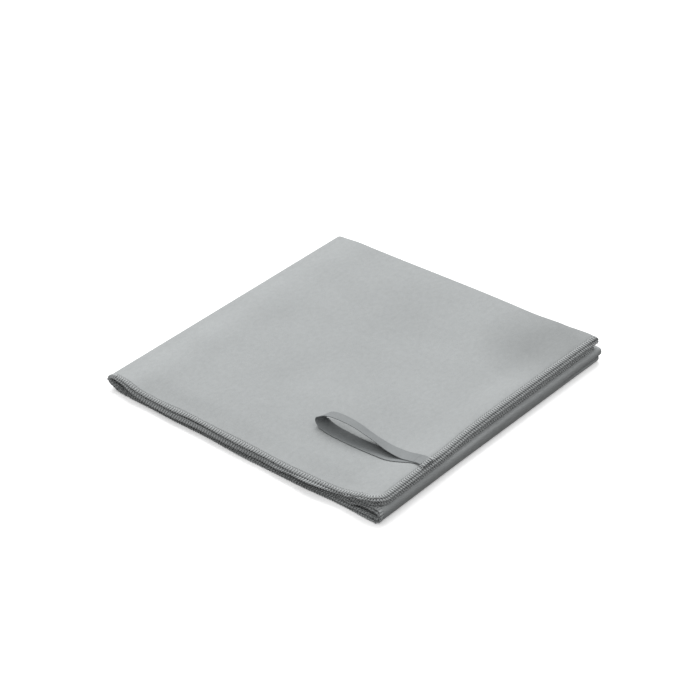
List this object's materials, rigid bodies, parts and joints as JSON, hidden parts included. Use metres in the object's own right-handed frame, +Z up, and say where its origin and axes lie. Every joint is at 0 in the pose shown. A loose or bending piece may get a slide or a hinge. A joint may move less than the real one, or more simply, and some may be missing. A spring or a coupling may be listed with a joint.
{
  "type": "quick dry towel",
  "caption": "Folded brushed microfibre towel with overlocked edges and a flat ribbon hanging loop; the pad opens at its nose fold and the loop lifts.",
  "frame": {"origin": "bottom centre of the folded pad, on the surface it lies on", "axes": "+Z up through the plies; +X from the double nose fold to the sewn short ends and the end fold; +Y from the sewn long edges to the lengthwise fold"},
  "size_m": [0.2506, 0.2543, 0.0272],
  "materials": {
    "microfibre": "matte brushed suede",
    "overlock_thread": "soft textured polyester thread",
    "loop_ribbon": "fine ribbed woven ribbon, low sheen"
  },
  "bodies": {
    "lower_half": {"cloth_lower_half": "microfibre", "overlock_needle_thread_lower": "overlock_thread", "overlock_face_looper_thread_lower": "overlock_thread", "overlock_back_looper_thread_lower": "overlock_thread"},
    "upper_half": {"cloth_top_panel": "microfibre", "cloth_second_panel": "microfibre", "overlock_needle_thread_upper": "overlock_thread", "overlock_face_looper_thread_upper": "overlock_thread", "overlock_back_looper_thread_upper": "overlock_thread", "loop_sewn_ends": "loop_ribbon", "loop_tack_stitches": "overlock_thread"},
    "hanging_loop": {"hanging_loop_ribbon": "loop_ribbon"}
  },
  "joints": [
    {"name": "pad_opens", "type": "hinge", "parent": "lower_half", "child": "upper_half", "pos_m": [-0.1254, 0, 0.00602], "axis": [0, -1, 0], "range_deg": [0, 178]},
    {"name": "loop_lifts", "type": "hinge", "parent": "upper_half", "child": "hanging_loop", "pos_m": [0.11607, -0.0717, 0.01829], "axis": [0, 1, 0], "range_deg": [0, 180]}
  ]
}
